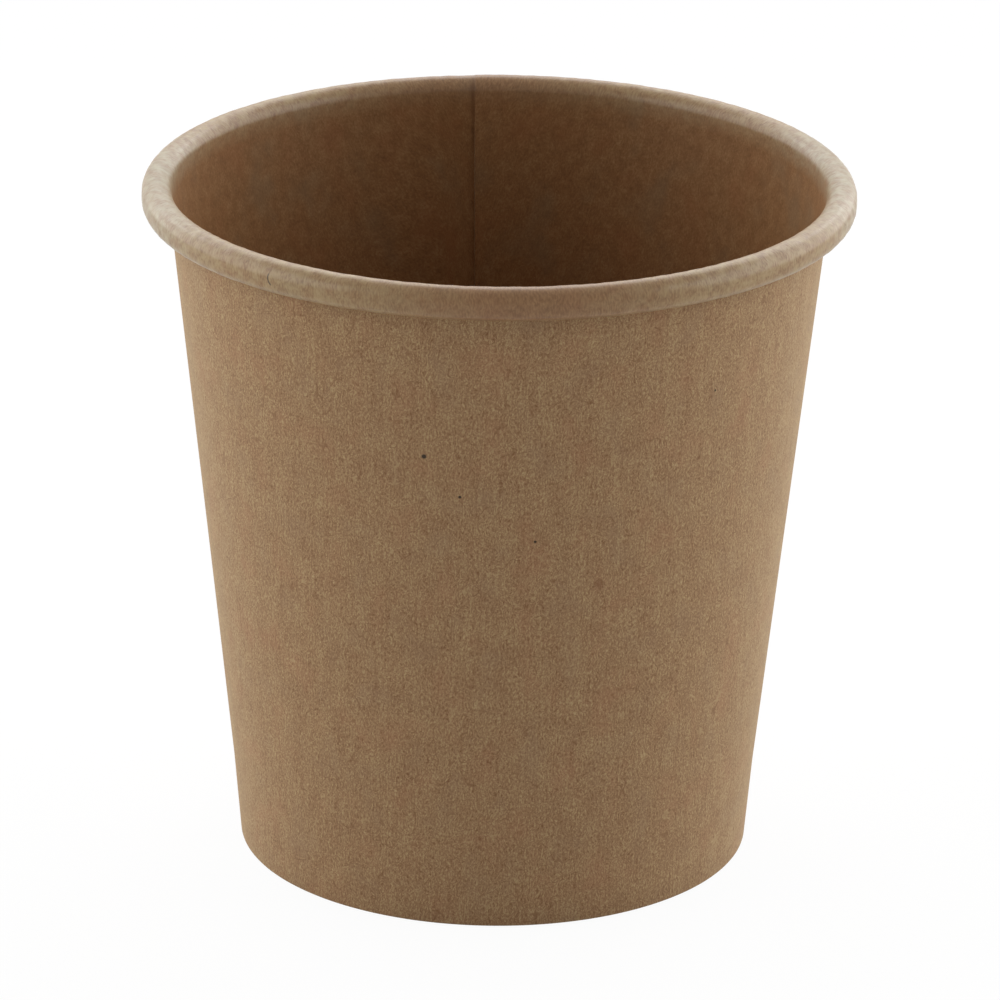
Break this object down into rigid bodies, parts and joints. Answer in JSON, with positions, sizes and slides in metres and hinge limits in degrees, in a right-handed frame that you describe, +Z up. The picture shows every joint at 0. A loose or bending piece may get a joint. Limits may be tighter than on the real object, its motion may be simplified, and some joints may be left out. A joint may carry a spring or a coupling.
{
  "type": "paper ice cream cup",
  "caption": "Small tapered kraft paper cup with a rolled rim, a lapped side seam and a recessed base, for ice cream or a hot drink.",
  "frame": {"origin": "centre of the foot, on the floor that the cup stands on", "axes": "+Z up along the cup's axis, +Y towards the side seam, whose inner cut edge lies in the plane x = 0"},
  "size_m": [0.062, 0.062, 0.061],
  "materials": {
    "kraft_board": "uncoated kraft board outside, thin clear coating inside",
    "base_board": "kraft board with a thin clear coating on its upper face"
  },
  "bodies": {
    "root": {"sidewall": "kraft_board", "base_disc": "base_board"}
  },
  "joints": []
}
